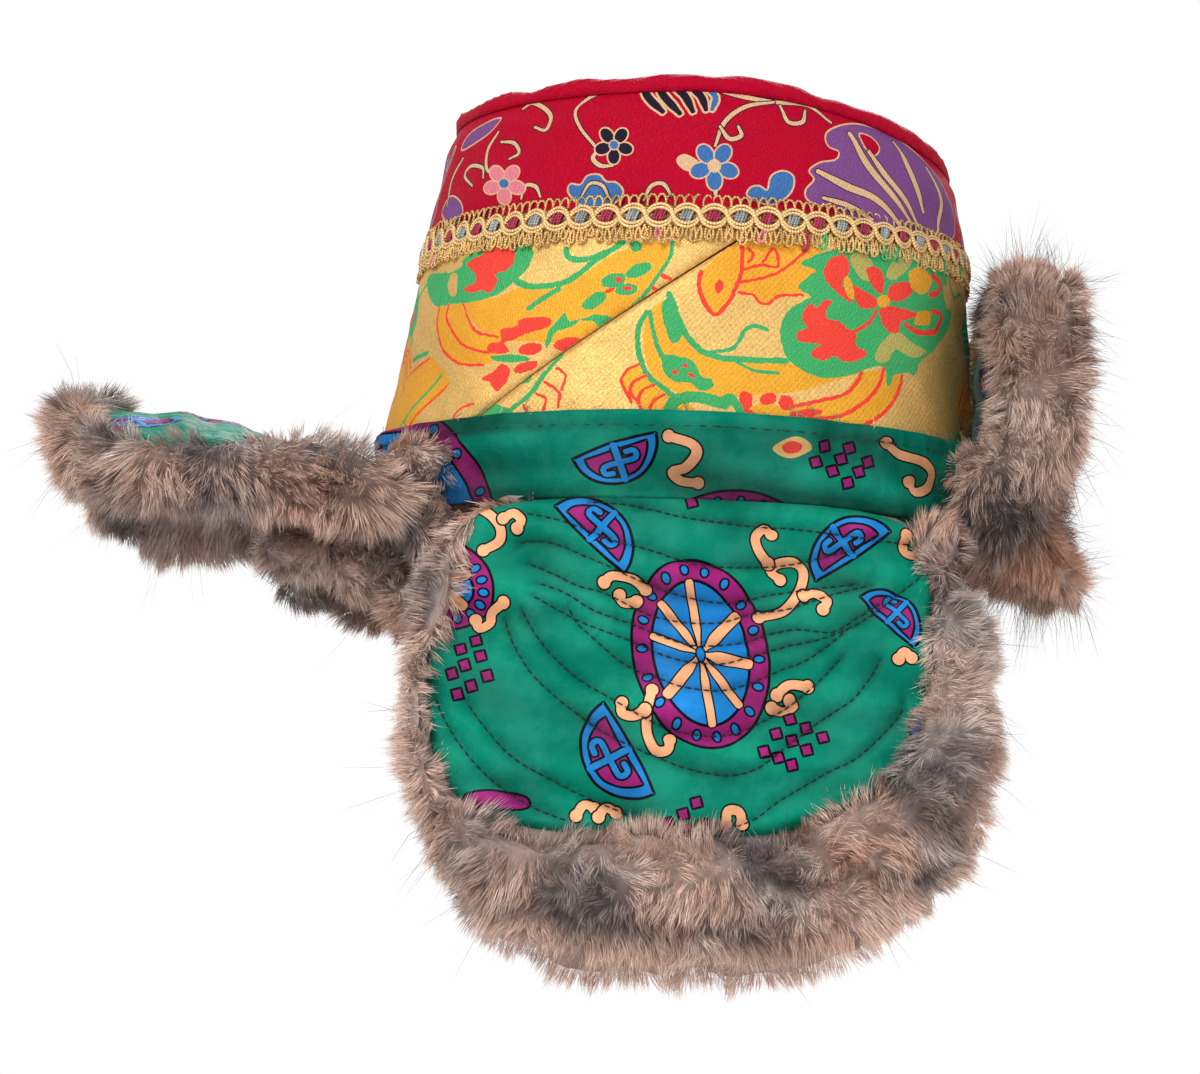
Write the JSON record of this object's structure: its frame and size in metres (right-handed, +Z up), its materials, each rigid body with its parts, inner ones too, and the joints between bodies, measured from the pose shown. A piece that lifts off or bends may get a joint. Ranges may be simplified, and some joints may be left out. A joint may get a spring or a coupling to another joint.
{
  "type": "four-flap fur-lined brocade hat",
  "caption": "Tall brocade crown with a gimp braid and a satin rim, carrying hanging ear flaps, a front flap like a peak and a turned-up back flap, all lined with fur.",
  "frame": {"origin": "the middle of the head opening, at the hinge line of the flaps where the rim sits on the head", "axes": "+Z up out of the crown, -Y towards the front flap, +X towards the wearer's left"},
  "size_m": [0.2198, 0.3575, 0.3009],
  "materials": {
    "crimson_brocade": "crimson silk brocade with gold-outlined flowers and scrolls",
    "gold_brocade": "gold thread brocade with coral peonies and green leaves",
    "gimp_braid": "gold gimp braid with red and grey metallic centres",
    "green_satin": "green figured satin, quilted with dark thread",
    "fur": "soft rabbit-like fur, beige brown with slate grey patches and dark tips"
  },
  "bodies": {
    "root": {"crown_top": "crimson_brocade", "crown_band": "crimson_brocade", "gold_panel_front": "gold_brocade", "gold_panel_back": "gold_brocade", "braid": "gimp_braid", "rim_band": "green_satin", "ear_flap_left": "green_satin", "ear_flap_right": "green_satin", "front_flap": "green_satin", "back_flap": "green_satin", "fur_ear_left": "fur", "fur_ear_right": "fur", "fur_front": "fur", "fur_back": "fur"}
  },
  "joints": []
}
